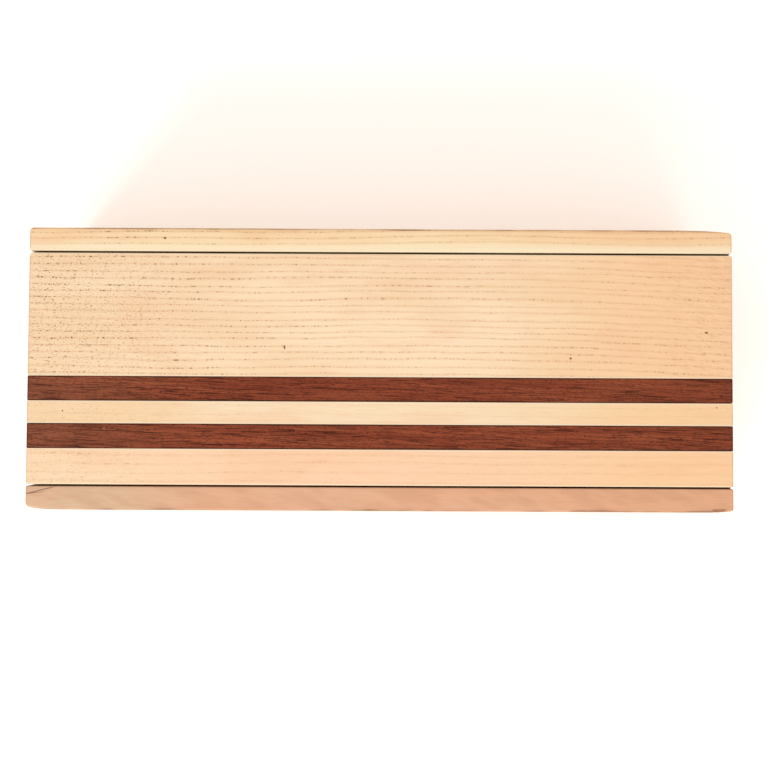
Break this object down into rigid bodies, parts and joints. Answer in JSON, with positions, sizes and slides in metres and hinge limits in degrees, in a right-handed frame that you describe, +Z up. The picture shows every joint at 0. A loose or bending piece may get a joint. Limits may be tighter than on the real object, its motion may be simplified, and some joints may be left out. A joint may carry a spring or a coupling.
{
  "type": "wooden puzzle box",
  "caption": "Long low maple puzzle box with a walnut-striped sliding lid, hidden locks and a secret end drawer",
  "frame": {"origin": "centre of the underside, on the surface that the box stands on", "axes": "+X along the length, the way the lid slides off; +Y to the back wall; +Z up"},
  "size_m": [0.28, 0.1124, 0.051],
  "materials": {
    "pale_maple": "sanded and waxed, satin",
    "back_maple": "sanded and waxed, satin",
    "pink_maple": "sanded and waxed, satin",
    "case_maple": "sanded and waxed, satin",
    "drawer_maple": "sanded, unfinished",
    "walnut": "sanded and waxed, satin, open pores",
    "runner_walnut": "planed, waxed",
    "dowel_walnut": "end grain, sanded flush",
    "plywood": "sanded birch plywood",
    "felt": "wool felt",
    "steel_pin": "ground steel",
    "brass_pin": "drawn brass rod",
    "magnet": "nickel plated disc"
  },
  "bodies": {
    "case": {"front_wall": "pink_maple", "back_wall": "back_maple", "base_board": "plywood", "left_end_wall": "case_maple", "right_end_wall": "case_maple", "false_floor": "plywood", "felt_lining": "felt", "front_dowels": "dowel_walnut", "back_dowels": "dowel_walnut", "wall_magnets": "magnet", "panel_stop_pins": "brass_pin", "drawer_stop": "case_maple", "stop_magnet": "magnet"},
    "lid": {"lid_wide_maple": "pale_maple", "lid_back_walnut": "walnut", "lid_middle_maple": "pale_maple", "lid_front_walnut": "walnut", "lid_front_maple": "pale_maple", "lid_back_runner": "runner_walnut", "lid_front_runner": "runner_walnut"},
    "end_panel": {"key_panel": "case_maple", "panel_key": "runner_walnut", "panel_magnets": "magnet"},
    "lid_pin": {"tilt_pin": "steel_pin"},
    "drawer": {"drawer_front": "case_maple", "drawer_left_side": "drawer_maple", "drawer_right_side": "drawer_maple", "drawer_back": "drawer_maple", "drawer_bottom": "plywood", "drawer_magnet": "magnet"}
  },
  "joints": [
    {"name": "lid_slide", "type": "slide", "parent": "case", "child": "lid", "axis": [1, 0, 0], "range_m": [0, 0.29]},
    {"name": "key_panel_slide", "type": "slide", "parent": "case", "child": "end_panel", "axis": [0, 0, 1], "range_m": [0, 0.005]},
    {"name": "tilt_pin_slide", "type": "slide", "parent": "lid", "child": "lid_pin", "axis": [0, -1, 0], "range_m": [0, 0.0045]},
    {"name": "drawer_slide", "type": "slide", "parent": "case", "child": "drawer", "axis": [1, 0, 0], "range_m": [0, 0.13]}
  ]
}
